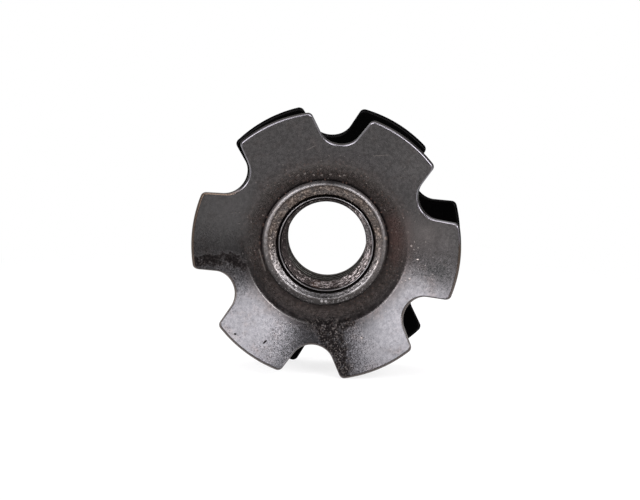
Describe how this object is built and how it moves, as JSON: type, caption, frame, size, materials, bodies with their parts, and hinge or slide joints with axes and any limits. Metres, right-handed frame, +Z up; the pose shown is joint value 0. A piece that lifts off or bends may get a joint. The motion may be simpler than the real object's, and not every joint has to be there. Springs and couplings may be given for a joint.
{
  "type": "headset star nut",
  "caption": "Threaded barrel with dished, notched spring stars held under its rolled lips; grips the inside of a steerer tube and takes the headset preload bolt.",
  "frame": {"origin": "middle of the threaded bore, on the bore's axis", "axes": "Y along the bore's axis, with -Y towards the side where the bolt enters, which the petals rise to; +Z up, with the nut lying on the rims of its stars; X to the right as seen from the bolt's side"},
  "size_m": [0.0236, 0.0112, 0.0232],
  "materials": {
    "barrel_steel": "black oxide over turned steel, brownish and speckled",
    "star_steel": "black oxide spring sheet, semi-gloss, with fine pits and brown edges"
  },
  "bodies": {
    "root": {"threaded_barrel": "barrel_steel", "upper_star": "star_steel", "lower_star": "star_steel"}
  },
  "joints": []
}
